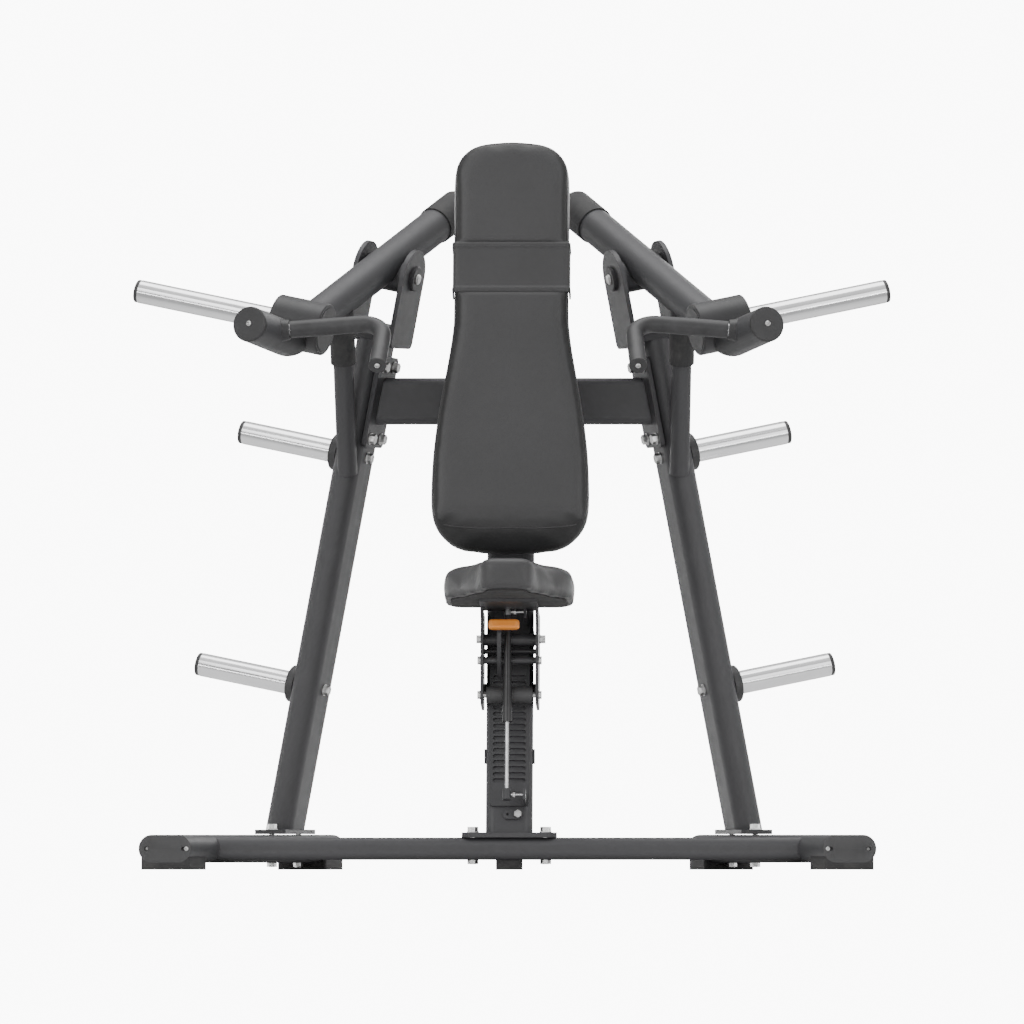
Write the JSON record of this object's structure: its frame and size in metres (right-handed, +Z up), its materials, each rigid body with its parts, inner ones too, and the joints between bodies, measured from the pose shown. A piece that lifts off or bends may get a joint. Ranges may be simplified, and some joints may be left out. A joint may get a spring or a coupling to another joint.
{
  "type": "chest press machine",
  "caption": "Plate-loaded incline chest press with two pivoting converging arms, weight horns, reclined back pad and a height-adjustable seat.",
  "frame": {"origin": "middle of the machine's footprint, on the floor", "axes": "+Z up, -Y towards the side the user sits on, +X to the right seen from the front"},
  "size_m": [1.623, 0.9896, 1.5619],
  "materials": {
    "frame_paint": "satin",
    "arm_paint": "satin",
    "chrome": "polished",
    "zinc_bolts": "satin",
    "steel_parts": "satin",
    "bronze_bush": "satin",
    "black_plastic": "matte",
    "orange_plastic": "satin",
    "rubber": "matte",
    "grip_rubber": "matte",
    "vinyl": "satin",
    "plywood": "matte",
    "gas_black": "gloss"
  },
  "bodies": {
    "frame": {"rail_right": "frame_paint", "rail_left": "frame_paint", "rail_end_caps": "black_plastic", "base_crossbars": "frame_paint", "rubber_feet": "rubber", "upright_right": "frame_paint", "upright_left": "frame_paint", "base_plates": "frame_paint", "crossbar_flanges": "frame_paint", "upper_crossbar": "frame_paint", "pivot_yokes": "frame_paint", "pivot_axles": "steel_parts", "bearing_caps": "frame_paint", "rest_posts": "frame_paint", "rest_bumpers": "rubber", "storage_horns": "chrome", "horn_discs_and_tips": "black_plastic", "seat_post": "frame_paint", "rack_plate": "frame_paint", "gas_rod": "steel_parts", "post_lugs": "frame_paint", "back_brackets": "frame_paint", "back_stay": "frame_paint", "back_board": "plywood", "back_pad": "vinyl", "back_band": "vinyl", "frame_bolts": "zinc_bolts"},
    "seat_carriage": {"seat_board": "plywood", "seat_pad": "vinyl", "seat_bracket": "frame_paint", "carriage_plates": "frame_paint", "carriage_spacers": "frame_paint", "carriage_pins": "zinc_bolts", "gas_cylinder": "gas_black"},
    "release_lever": {"release_lever": "frame_paint", "lever_grip": "orange_plastic"},
    "front_roller": {"front_roller": "black_plastic"},
    "rear_roller": {"rear_roller": "black_plastic"},
    "left_arm": {"left_bearing_housing": "arm_paint", "left_pivot_bushes": "bronze_bush", "left_arm_tube": "arm_paint", "left_weight_sleeve": "rubber", "left_cross_hub": "arm_paint", "left_weight_horn": "chrome", "left_forearm": "arm_paint", "left_handle_socket": "arm_paint", "left_handle_tube": "steel_parts", "left_handle_grip": "grip_rubber", "left_arm_caps": "black_plastic"},
    "right_arm": {"right_bearing_housing": "arm_paint", "right_pivot_bushes": "bronze_bush", "right_arm_tube": "arm_paint", "right_weight_sleeve": "rubber", "right_cross_hub": "arm_paint", "right_weight_horn": "chrome", "right_forearm": "arm_paint", "right_handle_socket": "arm_paint", "right_handle_tube": "steel_parts", "right_handle_grip": "grip_rubber", "right_arm_caps": "black_plastic"}
  },
  "joints": [
    {"name": "right_arm_pivot", "type": "hinge", "parent": "frame", "child": "right_arm", "pos_m": [0.2683, 0.22575, 1.27689], "axis": [-0.9216, -0.3389, -0.1893], "range_deg": [0, 38]},
    {"name": "left_arm_pivot", "type": "hinge", "parent": "frame", "child": "left_arm", "pos_m": [-0.2683, 0.22575, 1.27689], "axis": [-0.9216, 0.3389, 0.1893], "range_deg": [0, 38]},
    {"name": "seat_slide", "type": "slide", "parent": "frame", "child": "seat_carriage", "axis": [0, 0.2588, 0.9659], "range_m": [-0.14, 0], "stiffness_N_per_m": 400, "springref_m": 0.7},
    {"name": "lever_pivot", "type": "hinge", "parent": "seat_carriage", "child": "release_lever", "pos_m": [0, -0.16032, 0.44816], "axis": [-1, 0, 0], "range_deg": [0, 12], "stiffness_Nm_per_rad": 2, "springref_deg": -22.92},
    {"name": "front_roller_spin", "type": "hinge", "parent": "seat_carriage", "child": "front_roller", "pos_m": [0, -0.17029, 0.37422], "axis": [1, 0, 0], "range_deg": [-5, 450]},
    {"name": "rear_roller_spin", "type": "hinge", "parent": "seat_carriage", "child": "rear_roller", "pos_m": [0, -0.03172, 0.49342], "axis": [1, 0, 0], "range_deg": [-450, 5]}
  ],
  "couplings": [
    {"joint": "front_roller_spin", "follows": "seat_slide", "rad_per_m": -54.054},
    {"joint": "rear_roller_spin", "follows": "seat_slide", "rad_per_m": 54.054}
  ]
}
